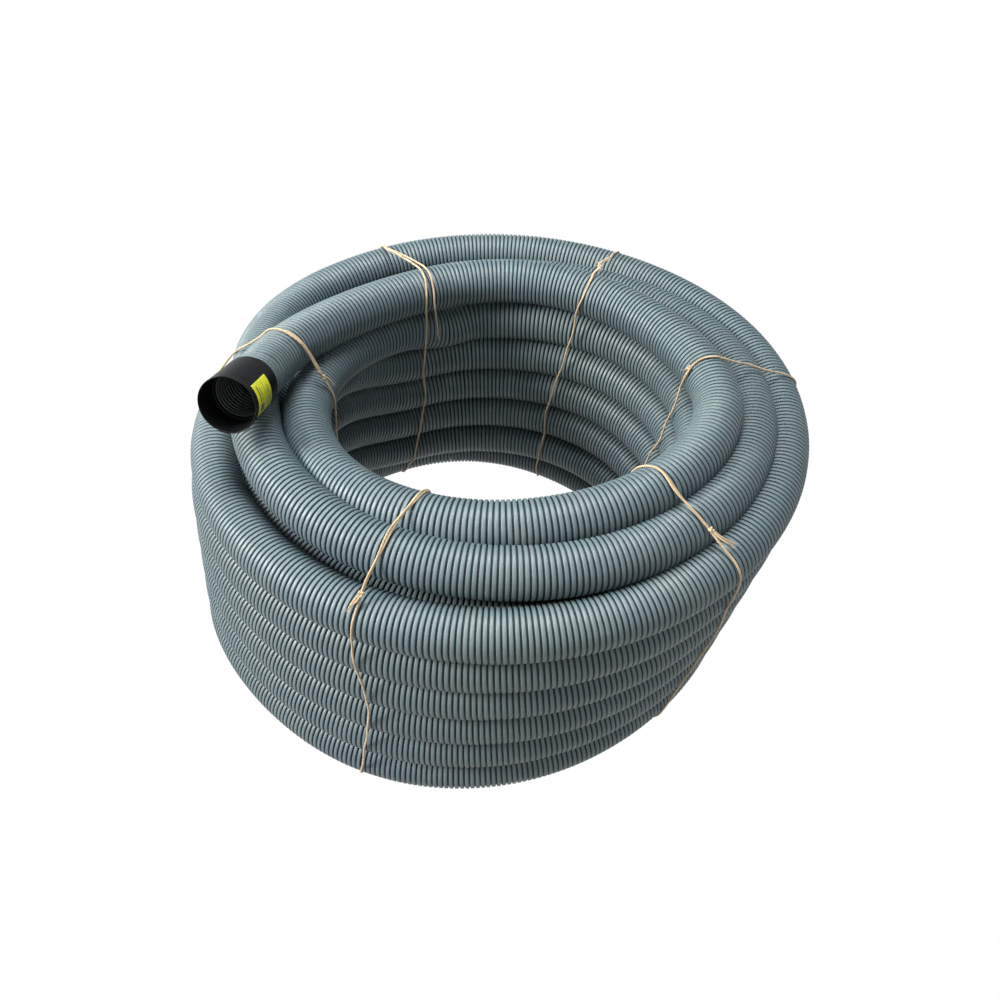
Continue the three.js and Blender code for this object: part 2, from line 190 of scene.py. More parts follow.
def crossing_place(phi):
    u = ease((MIDDLE_END - phi) / 50)
    z = MIDDLE_TOP + (outer_height(0.0) - MIDDLE_TOP) * u
    return MIDDLE + (OUTER - MIDDLE) * u, z


def near(phi, angle, width):
    """1 at a polar angle, falling to 0 within about twice the width on both sides."""
    apart = (phi - angle + 180) % 360 - 180
    return math.exp(-0.5 * (apart / width) ** 2)


def outer_place(phi):
    turned = OUTER_START - phi
    low = turned / 360 / 6
    radius = OUTER - OUTER_TAPER * turned / 360 - 0.12 * near(phi, 54, 26)
    radius += 0.19 * near(phi, 190, 17) * ease(3 * low) * (1 - 0.4 * low)
    radius -= (0.17 * near(phi, 225, 17) + 0.2 * near(phi, 312, 22)) * low
    return radius, outer_height(turned)


def hose_stretches():
    """(points, ribs show, number of ribs) for each part of the route, in order."""
    found = [(list(LEAD_ROUTE), True, None)]
    phi = INNER_START
    for k in range(1, 6):
        end = INNER_START - 360 * k
        found.append((stretch(phi, end, inner_place)[(k > 1):], True, INNER_RIBS))
        phi = end
    found.append((stretch(phi, FOOT_END, inner_place)[1:], True, None))
    phi = FOOT_END
    for k in range(5):
        end = MIDDLE_END if k == 4 else phi - 360
        points = stretch(phi, end, middle_place)[1:]
        if k == 4:
            points += stretch(MIDDLE_END, OUTER_START, crossing_place)[1:]
        found.append((points, k in (0, 3, 4), None))
        phi = end
    phi = OUTER_START
    for k in range(6):
        sweep = 310 if k == 5 else 360
        found.append((stretch(phi, phi - sweep, outer_place)[1:], True, OUTER_RIBS * sweep / 360))
        phi -= sweep
    return found


def catmull(points, per_step):
    """A smooth line through the points, with per_step points for each of them."""
    p = np.asarray(points, float)
    before = np.vstack([2 * p[0] - p[1], p[:-2]])
    after = np.vstack([p[2:], 2 * p[-1] - p[-2]])
    a, b, c, d = before, p[:-1], p[1:], after
    t = (np.arange(per_step) / per_step)[None, :, None]
    a, b, c, d = (v[:, None, :] for v in (a, b, c, d))
    line = 0.5 * (2 * b + (c - a) * t + (2 * a - 5 * b + 4 * c - d) * t**2 + (3 * b - a - 3 * c + d) * t**3)
    return np.vstack([line.reshape(-1, 3), p[-1]])


def along(line):
    return np.concatenate([[0.0], np.cumsum(np.linalg.norm(np.diff(line, axis=0), axis=1))])


AXIS = np.array([0.0, -math.cos(MOUTH_TILT), math.sin(MOUTH_TILT)])
mouth = to_frame(MOUTH)[0]
rear = mouth - AXIS * COUPLING_LENGTH
hose_end = rear + AXIS * SOCKET_DEPTH


# ---------------------------------------------------------------- meshes
def set_materials(obj, *materials):
    obj.data.materials.clear()
    for m in materials:
        obj.data.materials.append(m)


def mesh_object(name, vertices, *faces, smooth=True):
    """An object from points and arrays of faces, each array holding faces with one number of corners."""
    mesh = bpy.data.meshes.new(name)
    vertices = np.asarray(vertices, np.float32).reshape(-1, 3)
    faces = [np.asarray(f, np.int32) for f in faces]
    corners = np.concatenate([f.ravel() for f in faces])
    widths = np.concatenate([np.full(len(f), f.shape[1], np.int32) for f in faces])
    mesh.vertices.add(len(vertices))
    mesh.vertices.foreach_set("co", vertices.ravel())
    mesh.loops.add(len(corners))
    mesh.loops.foreach_set("vertex_index", corners)
    mesh.polygons.add(len(widths))
    mesh.polygons.foreach_set("loop_start", np.cumsum(widths, dtype=np.int32) - widths)
    mesh.polygons.foreach_set("use_smooth", np.full(len(widths), smooth))
    mesh.update(calc_edges=True)
    obj = bpy.data.objects.new(name, mesh)
    SCENE.collection.objects.link(obj)
    return obj


def fan(ring, middle, flip=False):
    """Triangles from a ring of point numbers to a middle point."""
    ring = np.asarray(ring)
    after = np.roll(ring, -1)
    columns = (after, ring) if flip else (ring, after)
    return np.stack([*columns, np.full(len(ring), middle)], 1)


def frames(line):
    """Tangent, side and upward directions along a line that is never upright."""
    tangent = np.gradient(line, axis=0)
    tangent /= np.linalg.norm(tangent, axis=1)[:, None]
    side = np.cross(tangent, [0.0, 0.0, 1.0])
    side /= np.linalg.norm(side, axis=1)[:, None]
    return tangent, side, np.cross(side, tangent)


def ring_faces(rings, sides):
    i = np.arange(rings - 1)[:, None] * sides
    j = np.arange(sides)[None, :]
    k = (j + 1) % sides
    return np.stack([i + j, i + k, i + sides + k, i + sides + j], -1).reshape(-1, 4)


def rings_at(centres, side, up, radii, sides):
    turn = 2 * np.pi * np.arange(sides) / sides
    round_part = np.cos(turn)[None, :, None] * side[:, None] + np.sin(turn)[None, :, None] * up[:, None]
    return centres[:, None] + np.asarray(radii)[:, None, None] * round_part


def point_values(obj, name, values):
    attribute = obj.data.attributes.new(name, "FLOAT", "POINT")
    attribute.data.foreach_set("value", np.asarray(values, np.float32).ravel())


# ---------------------------------------------------------------- materials
def new_material(name):
    m = bpy.data.materials.new(name)
    m.use_nodes = True
    nodes = m.node_tree.nodes
    nodes.clear()
    out = nodes.new("ShaderNodeOutputMaterial")
    shader = nodes.new("ShaderNodeBsdfPrincipled")
    m.node_tree.links.new(shader.outputs["BSDF"], out.inputs["Surface"])
    return m, m.node_tree, shader


def noise(tree, scale, detail=4.0, roughness=0.55, stretch=None):
    place = tree.nodes.new("ShaderNodeTexCoord")
    texture = tree.nodes.new("ShaderNodeTexNoise")
    texture.inputs["Scale"].default_value = scale
    texture.inputs["Detail"].default_value = detail
    texture.inputs["Roughness"].default_value = roughness
    source = place.outputs["Object"]
    if stretch:
        mapping = tree.nodes.new("ShaderNodeMapping")
        mapping.inputs["Scale"].default_value = stretch
        tree.links.new(source, mapping.inputs["Vector"])
        source = mapping.outputs["Vector"]
    tree.links.new(source, texture.inputs["Vector"])
    return texture.outputs["Fac"]


def ramp(tree, source, *stops):
    node = tree.nodes.new("ShaderNodeValToRGB")
    elements = node.color_ramp.elements
    while len(elements) < len(stops):
        elements.new(0.5)
    for element, (position, color) in zip(elements, stops):
        element.position = position
        element.color = (*color, 1.0)
    tree.links.new(source, node.inputs["Fac"])
    return node.outputs["Color"]


def mix(tree, kind, factor, a, b):
    node = tree.nodes.new("ShaderNodeMix")
    node.data_type = "RGBA"
    node.blend_type = kind
    node.inputs[0].default_value = factor if isinstance(factor, float) else 1.0
    if not isinstance(factor, float):
        tree.links.new(factor, node.inputs[0])
    for value, socket in ((a, node.inputs[6]), (b, node.inputs[7])):
        if isinstance(value, tuple):
            socket.default_value = (*value, 1.0)
        else:
            tree.links.new(value, socket)
    return node.outputs[2]


def remap(tree, source, low, high, to_low, to_high):
    node = tree.nodes.new("ShaderNodeMapRange")
    for name, value in (("From Min", low), ("From Max", high), ("To Min", to_low), ("To Max", to_high)):
        node.inputs[name].default_value = value
    tree.links.new(source, node.inputs["Value"])
    return node.outputs["Result"]


def bump(tree, shader, source, strength, distance):
    node = tree.nodes.new("ShaderNodeBump")
    node.inputs["Strength"].default_value = strength
    node.inputs["Distance"].default_value = distance
    tree.links.new(source, node.inputs["Height"])
    tree.links.new(node.outputs["Normal"], shader.inputs["Normal"])


def attribute(tree, name):
    node = tree.nodes.new("ShaderNodeAttribute")
    node.attribute_name = name
    return node.outputs["Fac"]


def hose_material():
    m, tree, shader = new_material("hose_plastic")
    # Painted shade: the base colour runs from nearly black in the grooves (crest 0) to the plain grey-blue of
    # the crests (crest 1)
    crest = attribute(tree, "crest")
    base = ramp(
        tree, crest,
        (0.0, (0.0035, 0.007, 0.0079)), (0.5, (0.013, 0.021, 0.0236)),
        (0.85, (0.041, 0.058, 0.063)), (1.0, (0.056, 0.078, 0.084)),
    )
    tone = ramp(tree, noise(tree, 2.2, 3.0), (0.3, (0.86, 0.92, 1.0)), (0.7, (1.0, 1.0, 0.93)))
    mottled = mix(tree, "MULTIPLY", 1.0, base, tone)
    specks = ramp(tree, noise(tree, 420.0, 3.0), (0.35, (0.88, 0.88, 0.88)), (0.7, (1.08, 1.08, 1.08)))
    colour = mix(tree, "MULTIPLY", 0.8, mottled, specks)
    dust = remap(tree, noise(tree, 26.0, 6.0, 0.65), 0.52, 0.72, 0.0, 0.16)
    colour = mix(tree, "MIX", dust, colour, (0.15, 0.16, 0.145))
    tree.links.new(colour, shader.inputs["Base Color"])
    tree.links.new(remap(tree, noise(tree, 60.0, 4.0), 0.3, 0.7, 0.46, 0.6), shader.inputs["Roughness"])
    shader.inputs["Specular IOR Level"].default_value = 0.42
    bump(tree, shader, noise(tree, 900.0, 3.0), 0.12, 0.0004)
    return m


HOSE_MATERIAL = hose_material()

# ---------------------------------------------------------------- the hose
SIDES = 24
PLAIN_SIDES = 14
BORE_RIBS = 30
END_BORE_RIBS = 12
WALL = 0.0013
# How deep the surface lies at places along one rib's pitch, and how much of a crest it is there; the hose's
# colour darkens where that crest value is low, which paints shade into the grooves
RIB_PROFILE = (
    (0.05, RIB_DEPTH, 0.0), (0.13, 0.0016, 0.5), (0.20, 0.0003, 0.95), (0.29, 0.0, 1.0),
    (0.71, 0.0, 1.0), (0.80, 0.0003, 0.95), (0.87, 0.0016, 0.5), (0.95, RIB_DEPTH, 0.0),
)
FIRST_RIB = 0.85  # the hose is cut this far along a rib's pitch
FINE = 10  # line points for each point of the route


class Hose:
    """The whole hose: its line, and its ribs counted along it."""

    def __init__(self):
        self.stretches = hose_stretches()
        head = [hose_end - AXIS * d for d in (0.0, 0.022, 0.048, STRAIGHT_END, STRAIGHT_END + 0.016)]
        points = list(head)
        ends = []
        for stretch_points, _, _ in self.stretches:
            points.extend(to_frame(stretch_points))
            ends.append((len(points) - 1) * FINE)
        self.line = catmull(points, FINE)
        self.length = along(self.line)
        count = [FIRST_RIB]
        marks = [0] + ends
        for (_, _, ribs), a, b in zip(self.stretches, marks[:-1], marks[1:]):
            count.append(count[-1] + (ribs or (self.length[b] - self.length[a]) / PITCH))
        self.ribs = np.interp(self.length, self.length[marks], count)
        self.counts = count
        self.tangent, self.side, self.up = frames(self.line)

    def sample(self, ribs):
        """Centre, tangent, side and up at places given as rib counts."""
        s = np.interp(ribs, self.ribs, self.length)
        return [
            np.stack([np.interp(s, self.length, v[:, k]) for k in range(3)], 1)
            for v in (self.line, self.tangent, self.side, self.up)
        ]


hose = Hose()


def rib_places(first, last):
    """Rib counts, depths and crest values of the rings from one place to another."""
    found = []
    for rib in range(math.floor(first), math.ceil(last) + 1):
        for offset, depth, crest in RIB_PROFILE:
            if first <= rib + offset <= last:
                found.append((rib + offset, depth, crest))
    return np.array(found)


def bore_rings(first, last, sides):
    """Rings of the hose's inner wall from one place to another."""
    step = 1 if last > first else -1
    places = rib_places(min(first, last), max(first, last))[::step]
    centres, _, side, up = hose.sample(places[:, 0])
    rings = rings_at(centres, side, up, RADIUS - WALL - places[:, 1], sides)
    # The inner wall's crest values are cut to a quarter, which paints shade inside the bore
    return rings, places[:, 2] * 0.25


def hose_run(name, first, last, ribbed, open_start=False, open_end=False):
    if ribbed:
        places = rib_places(first, last)
        sides = SIDES
    else:
        ribs = np.linspace(first, last, max(2, round((last - first) / 3)))
        places = np.stack([ribs, np.full(len(ribs), 0.0012), np.full(len(ribs), 0.8)], 1)
        sides = PLAIN_SIDES
    centres, _, side, up = hose.sample(places[:, 0])
    rings = rings_at(centres, side, up, RADIUS - places[:, 1], sides)
    crest = places[:, 2]
    if open_start:
        inner, inner_crest = bore_rings(first + BORE_RIBS, first, sides)
        rings, crest = np.concatenate([inner, rings]), np.concatenate([inner_crest, crest])
    if open_end:
        inner, inner_crest = bore_rings(last, last - END_BORE_RIBS, sides)
        rings, crest = np.concatenate([rings, inner]), np.concatenate([crest, inner_crest])
    count = len(rings) * sides
    ring = np.arange(sides)
    vertices = np.concatenate([rings.reshape(-1, 3), [rings[0].mean(0), rings[-1].mean(0)]])
    caps = np.concatenate([fan(ring, count), fan(count - sides + ring, count + 1, True)])
    run = mesh_object(name, vertices, ring_faces(len(rings), sides)[:, ::-1], caps)
    # The crest values drive the painted groove shade in the hose's colour; plain runs get 0.8 and the cap
    # centres 0, the darkest
    point_values(run, "crest", np.append(np.repeat(crest, sides), [0.0, 0.0]))
    set_materials(run, HOSE_MATERIAL)
    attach(run, "root")
    return run, centres


def build_hose():
    counts = hose.counts
    last_rib = math.floor(counts[-1]) + 0.14
    for i, (_, ribbed, _) in enumerate(hose.stretches):
        first = counts[0] if i == 0 else math.ceil(counts[i])
        last = last_rib if i == len(hose.stretches) - 1 else math.ceil(counts[i + 1])
        name = "hose_lead" if i == 0 else f"hose_turn_{i:02d}"
        run, centres = hose_run(name, first, last, ribbed, i == 0, i == len(hose.stretches) - 1)
        if i == 0:
            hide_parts("hose_top_turn", "hose_end")
        else:
            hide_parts("hose_coil")


build_hose()


# ---------------------------------------------------------------- the coupling
LOCAL_X = np.array([1.0, 0.0, 0.0])
LOCAL_Y = np.cross(AXIS, LOCAL_X)
LABEL_MIDDLE, LABEL_ARC = math.radians(7), math.radians(66)
LABEL_FROM, LABEL_LENGTH = 0.030, 0.054
RIM = 0.096


def on_axis(radius, angle, z):
    """A place around the coupling, z along its axis from its rear."""
    return rear + AXIS * z + (LOCAL_X * math.cos(angle) + LOCAL_Y * math.sin(angle)) * radius


def lathe(name, profile, steps, material):
    """A closed profile of (radius, distance along the axis) in millimetres, turned about the axis."""
    rings = [[on_axis(r / 1000, 2 * math.pi * k / steps, z / 1000) for r, z in profile] for k in range(steps)]
    count = len(profile)
    i = np.arange(steps)[:, None] * count
    j = np.arange(count)[None, :]
    after, k = (i + count) % (steps * count), (j + 1) % count
    faces = np.stack([i + j, after + j, after + k, i + k], -1).reshape(-1, 4)
    obj = mesh_object(name, np.array(rings), faces)
    set_materials(obj, material)
    return obj


def coupling_material():
    m, tree, shader = new_material("coupling_plastic")
    cloud = noise(tree, 30.0, 5.0, 0.6)
    base = ramp(tree, cloud, (0.3, (0.0018, 0.002, 0.0022)), (0.75, (0.005, 0.0052, 0.0055)))
    tree.links.new(base, shader.inputs["Base Color"])
    scuffs = noise(tree, 240.0, 6.0, 0.7, (1.0, 1.0, 6.0))
    tree.links.new(remap(tree, scuffs, 0.4, 0.7, 0.3, 0.48), shader.inputs["Roughness"])
    shader.inputs["Specular IOR Level"].default_value = 0.06
    bump(tree, shader, noise(tree, 700.0, 2.0), 0.06, 0.0003)
    return m


def make_coupling():
    profile = [
        (42.9, 0.0), (43.5, 0.2), (43.85, 0.8), (43.95, 2.0), (44.1, 20.0), (44.35, 45.0), (44.7, 70.0),
        (45.0, 84.0), (45.2, 90.0), (45.45, 94.2), (45.55, 95.1), (45.3, 95.75), (44.7, 96.0), (43.9, 95.8),
        (43.3, 95.0), (42.6, 91.0), (42.25, 87.5), (42.2, 85.0), (42.2, 49.9), (42.0, 49.3), (41.3, 49.0),
        (40.0, 48.9), (39.65, 48.6), (39.6, 47.5), (39.65, 46.4), (40.0, 46.05), (41.4, 46.0), (41.6, 45.6),
        (41.6, 3.0), (41.7, 1.4), (42.2, 0.3),
    ]
    coupling = lathe("coupling_shell", profile, 144, coupling_material())
    bevelled = coupling.modifiers.new("even", "WEIGHTED_NORMAL")
    bevelled.keep_sharp = False
    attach(coupling, "coupling")
    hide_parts("coupling")


def label_material():
    m, tree, shader = new_material("label_print")
    uv = tree.nodes.new("ShaderNodeUVMap")
    parts = tree.nodes.new("ShaderNodeSeparateXYZ")
    tree.links.new(uv.outputs["UV"], parts.inputs["Vector"])
    u, v = parts.outputs["X"], parts.outputs["Y"]

    def between(source, low, high):
        above = math_node(tree, "GREATER_THAN", source, low)
        return math_node(tree, "MULTIPLY", above, math_node(tree, "LESS_THAN", source, high))

    def block(u0, u1, v0, v1):
        return math_node(tree, "MULTIPLY", between(u, u0, u1), between(v, v0, v1))

    colour = ramp(tree, noise(tree, 90.0, 4.0), (0.3, (0.27, 0.265, 0.002)), (0.75, (0.34, 0.335, 0.004)))
    for area in LABEL_BLOCKS:
        colour = mix(tree, "MIX", block(*area), colour, (0.03, 0.032, 0.028))
    tree.links.new(colour, shader.inputs["Base Color"])
    tree.links.new(remap(tree, noise(tree, 150.0, 3.0), 0.3, 0.7, 0.32, 0.5), shader.inputs["Roughness"])
    bump(tree, shader, noise(tree, 300.0, 3.0), 0.1, 0.0003)
    return m


def math_node(tree, kind, a, b):
    node = tree.nodes.new("ShaderNodeMath")
    node.operation = kind
    for value, socket in ((a, node.inputs[0]), (b, node.inputs[1])):
        if isinstance(value, (int, float)):
            socket.default_value = value
        else:
            tree.links.new(value, socket)
    return node.outputs[0]


# Plain dark bars and a block, in parts of the label's width around the coupling and its length
LABEL_BLOCKS = (
    (0.10, 0.34, 0.60, 0.86), (0.42, 0.90, 0.78, 0.84), (0.42, 0.80, 0.66, 0.70),
    (0.10, 0.90, 0.44, 0.46), (0.10, 0.62, 0.30, 0.335), (0.10, 0.74, 0.20, 0.235), (0.10, 0.50, 0.10, 0.135),
)


def make_label():
    across, deep, thickness = 34, 26, 0.0006
    start = LABEL_MIDDLE - LABEL_ARC / 2
    layers, uvs = [], []
    for lift in (0.0001, thickness):
        for i in range(across + 1):
            for j in range(deep + 1):
                u, v = i / across, j / deep
                z = LABEL_FROM + LABEL_LENGTH * v
                taper = 0.0450 - 0.0006 * (RIM - 0.012 - z) / 0.05
                ruffle = 0.00012 * math.sin(9 * u + 5 * v) * (lift > 0.0003)
                layers.append(on_axis(taper + lift + ruffle, start + LABEL_ARC * u, z))
                uvs.append((u, v))
    count = (across + 1) * (deep + 1)
    faces = []
    for i in range(across):
        for j in range(deep):
            a = i * (deep + 1) + j
            quad = [a, a + 1, a + deep + 2, a + deep + 1]
            faces += [quad, [count + q for q in reversed(quad)]]
    rim = [j for j in range(deep)] + [i * (deep + 1) + deep for i in range(across)]
    rim += [across * (deep + 1) + j for j in range(deep, 0, -1)]
    rim += [i * (deep + 1) for i in range(across, 0, -1)]
    for a, b in zip(rim, rim[1:] + rim[:1]):
        faces.append([a, a + count, b + count, b])
    label = mesh_object("coupling_label_print", np.array(layers), np.array(faces)[:, ::-1])
    layer = label.data.uv_layers.new(name="print")
    corner_points = np.zeros(len(label.data.loops), np.int32)
    label.data.loops.foreach_get("vertex_index", corner_points)
    layer.data.foreach_set("uv", np.array(uvs, np.float32)[corner_points].ravel())
    set_materials(label, label_material())
    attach(label, "coupling")
    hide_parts("coupling_label")


def make_seal():
    m, tree, shader = new_material("seal_rubber")
    base = ramp(tree, noise(tree, 200.0, 4.0), (0.3, (0.008, 0.008, 0.008)), (0.7, (0.02, 0.02, 0.02)))
    tree.links.new(base, shader.inputs["Base Color"])
    shader.inputs["Roughness"].default_value = 0.72
    middle = 1000 * (SOCKET_DEPTH - 2.15 * PITCH)
    profile = [(38.0, -0.45), (39.2, -0.95), (40.4, -1.15), (41.1, -0.8), (41.35, 0.0)]
    profile += [(r, -z) for r, z in profile[-2::-1]]
    seal = lathe("seal_ring_rubber", [(r, middle + z) for r, z in profile], 128, m)
    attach(seal, "seal")
    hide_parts("seal_ring")


make_coupling()
make_label()
make_seal()

# ---------------------------------------------------------------- the ties
TWINE = 0.0038
PLY_PITCH = 0.011
TWINE_SIDES = 10
CLEAR = 0.3 * TWINE
LONG_TAIL = 0.2  # a longer tail leaves its strand late
# Each tie: its polar angle on the outside, on top, over the inner edge and on the inside; the knot's
# place (radius and height in hose diameters); its tails (length, metres aside at the tip, along the loop
# or against it); and where a second strand lies beside it (from and to, in parts of the loop, and
# metres aside)
TIES = {
    "tie_left": (
        (180, 174, 178, 160), (3.6, 6.4),
        ((0.024, 0.007, 1), (0.014, -0.006, -1)), ((-0.07, 0.0, 0.004),),
    ),
    "tie_back_left": (
        (118, 120, 119, 113), (6.5, 5.8),
        ((0.43, 0.024, 1), (0.17, -0.005, 1), (0.012, 0.004, -1)), ((0.0, 0.07, -0.005),),
    ),
    "tie_front_left": (
        (252, 246, 248, 248), (6.15, 5.9),
        ((0.030, 0.010, -1), (0.022, 0.006, -1)), ((0.0, 0.16, 0.0035),),
    ),
    "tie_front_right": (
        (318, 309, 306, 304), (5.6, 6.2),
        ((0.040, -0.018, -1), (0.036, -0.010, -1)), ((0.0, 0.09, 0.005),),
    ),
    "tie_right": (
        (365, 363, 365, 372), (3.5, 6.5),
        ((0.016, 0.005, 1), (0.011, -0.005, 1)), ((-0.04, 0.0, 0.003), (0.0, 0.03, 0.003)),
    ),
    "tie_back_right": (
        (61, 62, 64, 67), (4.3, 6.6),
        ((0.02, 0.006, 1), (0.015, -0.004, -1)), ((0.0, 0.05, 0.005), (-0.06, 0.0, -0.005)),
    ),
}
STATIONS = (-15, 75, 120, 180)  # where those angles hold: 0 outside, 90 on top, 180 inside


def twine_material():
    m, tree, shader = new_material("twine_jute")
    fibre = noise(tree, 1500.0, 4.0, 0.6)
    base = ramp(
        tree, fibre,
        (0.25, (0.10, 0.066, 0.032)), (0.5, (0.25, 0.185, 0.105)), (0.75, (0.44, 0.36, 0.24)),
    )
    patches = ramp(tree, noise(tree, 45.0, 3.0), (0.3, (0.72, 0.66, 0.58)), (0.7, (1.1, 1.08, 1.05)))
    tree.links.new(mix(tree, "MULTIPLY", 1.0, base, patches), shader.inputs["Base Color"])
    shader.inputs["Roughness"].default_value = 0.88
    shader.inputs["Sheen Weight"].default_value = 0.25
    bump(tree, shader, fibre, 0.6, 0.0006)
    return m


TWINE_MATERIAL = twine_material()


def convex_hull(points):
    """Corners of the convex outline of points in a plane, anticlockwise."""
    points = sorted(set((round(float(x), 6), round(float(y), 6)) for x, y in points))

    def half(row):
        chain = []
        for p in row:
            while len(chain) > 1:
                (ax, ay), (bx, by) = chain[-2], chain[-1]
                if (bx - ax) * (p[1] - ay) - (by - ay) * (p[0] - ax) > 0:
                    break
                chain.pop()
            chain.append(p)
        return chain[:-1]

    return np.array(half(points) + half(points[::-1]))


def tie_plane(angle):
    """The plane across the coil at an angle: a point of it, its outward, upward and sideways directions."""
    low, high = (to_frame(spot(OUTER, angle, z))[0] for z in (0.4, 5.8))
    within = to_frame(spot(INNER, angle, 4.5))[0]
    normal = np.cross(high - low, within - low)
    normal /= np.linalg.norm(normal)
    out = np.array([normal[1], -normal[0], 0.0]) / math.hypot(normal[0], normal[1])
    middle = (low + high) / 2
    if np.dot(out, middle - within) < 0:
        out = -out
    up = np.cross(normal, out)
    up = up if up[2] > 0 else -up
    return middle, out, up, normal


def turned_about_coil(points, degrees):
    """The points moved round the coil, each by its own angle."""
    heights = points[:, 2] / HOSE
    axis_x = -0.85 + 0.161 * heights
    axis_y = np.full_like(heights, 0.2085 * (5 - INNER) - 0.17)
    pivot = to_frame(np.stack([axis_x, axis_y, heights], 1))
    away, turn = points - pivot, np.radians(degrees)
    moved = points.copy()
    moved[:, 0] = pivot[:, 0] + np.cos(turn) * away[:, 0] - np.sin(turn) * away[:, 1]
    moved[:, 1] = pivot[:, 1] + np.sin(turn) * away[:, 0] + np.cos(turn) * away[:, 1]
    return moved


def tie_outline(angle):
    """The tight loop of a tie, as points in its plane, and the plane."""
    middle, out, up, normal = tie_plane(angle)
    away = (hose.line - middle) @ normal
    crossing = np.nonzero(np.sign(away[:-1]) != np.sign(away[1:]))[0]
    around = np.linspace(0, 2 * math.pi, 48, endpoint=False)
    reach = RADIUS + TWINE / 2 + CLEAR
    found = []
    for i in crossing:
        t = away[i] / (away[i] - away[i + 1])
        centre = hose.line[i] * (1 - t) + hose.line[i + 1] * t
        if (centre - middle) @ out < -0.3:
            continue
        tangent, side, lift = hose.tangent[i], hose.side[i], hose.up[i]
        ring = reach * (np.cos(around)[:, None] * side + np.sin(around)[:, None] * lift)
        ring -= np.outer(ring @ normal / (tangent @ normal), tangent)
        found.append(np.stack([(centre + ring - middle) @ out, (centre + ring - middle) @ up], 1))
    return convex_hull(np.concatenate(found)), (middle, out, up, normal)


def even_loop(points, step):
    """A closed line through the points, in even steps, starting at the first point."""
    closed = np.vstack([points, points[:1]])
    length = along(closed)
    count = round(length[-1] / step)
    places = np.linspace(0, length[-1], count, endpoint=False)
    return np.stack([np.interp(places, length, closed[:, k]) for k in range(closed.shape[1])], 1)


def soften(line, rounds):
    for _ in range(rounds):
        line = (np.roll(line, 1, 0) + 2 * line + np.roll(line, -1, 0)) / 4
    return line


def strand_rings(line, radius, phase=0.0):
    """Rings of a two-ply twisted strand along a line."""
    tangent = np.gradient(line, axis=0)
    tangent /= np.linalg.norm(tangent, axis=1)[:, None]
    side = np.zeros_like(line)
    side[0] = np.cross(tangent[0], [0.3, 0.2, 0.93])
    side[0] /= np.linalg.norm(side[0])
    for i in range(1, len(line)):
        carried = side[i - 1] - tangent[i] * (side[i - 1] @ tangent[i])
        side[i] = carried / np.linalg.norm(carried)
    up = np.cross(tangent, side)
    angle = 2 * np.pi * np.arange(TWINE_SIDES) / TWINE_SIDES
    twist = phase + 2 * np.pi * along(line) / PLY_PITCH
    lobed = 0.78 + 0.22 * np.abs(np.cos(angle[None] - twist[:, None]))
    reach = (np.asarray(radius) * np.ones(len(line)))[:, None] * lobed
    return line[:, None] + reach[..., None] * (
        np.cos(angle)[None, :, None] * side[:, None] + np.sin(angle)[None, :, None] * up[:, None]
    )


class Pile:
    """Many tubes gathered into one mesh."""

    def __init__(self):
        self.points, self.quads, self.triangles, self.total = [], [], [], 0

    def tube(self, rings):
        count, sides = rings.shape[:2]
        ring = np.arange(sides)
        self.points += [rings.reshape(-1, 3), rings[0].mean(0)[None], rings[-1].mean(0)[None]]
        self.quads.append(ring_faces(count, sides) + self.total)
        ends = count * sides
        caps = np.concatenate([fan(ring, ends, True), fan(ends - sides + ring, ends + 1)])
        self.triangles.append(caps + self.total)
        self.total += ends + 2

    def thread(self, line, radius, sides=3):
        tangent = np.gradient(line, axis=0)
        tangent /= np.linalg.norm(tangent, axis=1)[:, None]
        side = np.cross(tangent, [0.31, 0.22, 0.92])
        side /= np.linalg.norm(side, axis=1)[:, None]
        radii = radius * np.linspace(1, 0.4, len(line))
        self.tube(rings_at(line, side, np.cross(side, tangent), radii, sides))

    def build(self, name):
        parts = [np.concatenate(part) for part in (self.points, self.quads, self.triangles)]
        return mesh_object(name, *parts)


def smooth_path(points, step):
    line = catmull(points, 12)
    length = along(line)
    places = np.linspace(0, length[-1], max(4, round(length[-1] / step)))
    return np.stack([np.interp(places, length, line[:, k]) for k in range(3)], 1)


HOSE_POINTS = KDTree(len(hose.line))
for index, point in enumerate(hose.line):
    HOSE_POINTS.insert(point, index)
HOSE_POINTS.balance()


def clear_of_hose(line, gap):
    """The line with each point that is too near the hose moved out to the gap from its crests."""
    moved = line.copy()
    for i, point in enumerate(line):
        centre, _, distance = HOSE_POINTS.find(point)
        if distance < RADIUS + gap:
            moved[i] = np.array(centre) + (point - np.array(centre)) * ((RADIUS + gap) / distance)
    moved[:, 2] = np.maximum(moved[:, 2], TWINE / 2)
    return moved


def tighten(loop, normal, rounds):
    """Pulls a loop tight over the hose, without letting it slip sideways."""
    for _ in range(rounds):
        pull = soften(loop, 2) - loop
        pull -= np.outer(pull @ normal, normal)
        loop = clear_of_hose(loop + 2.0 * pull, TWINE / 2 - 0.0004)
    return loop


def beside(loop, away, across, aside, lift):
    """A line beside part of the loop, aside and lifted from it by the given lengths."""
    return loop + across * aside[:, None] + away * lift[:, None]


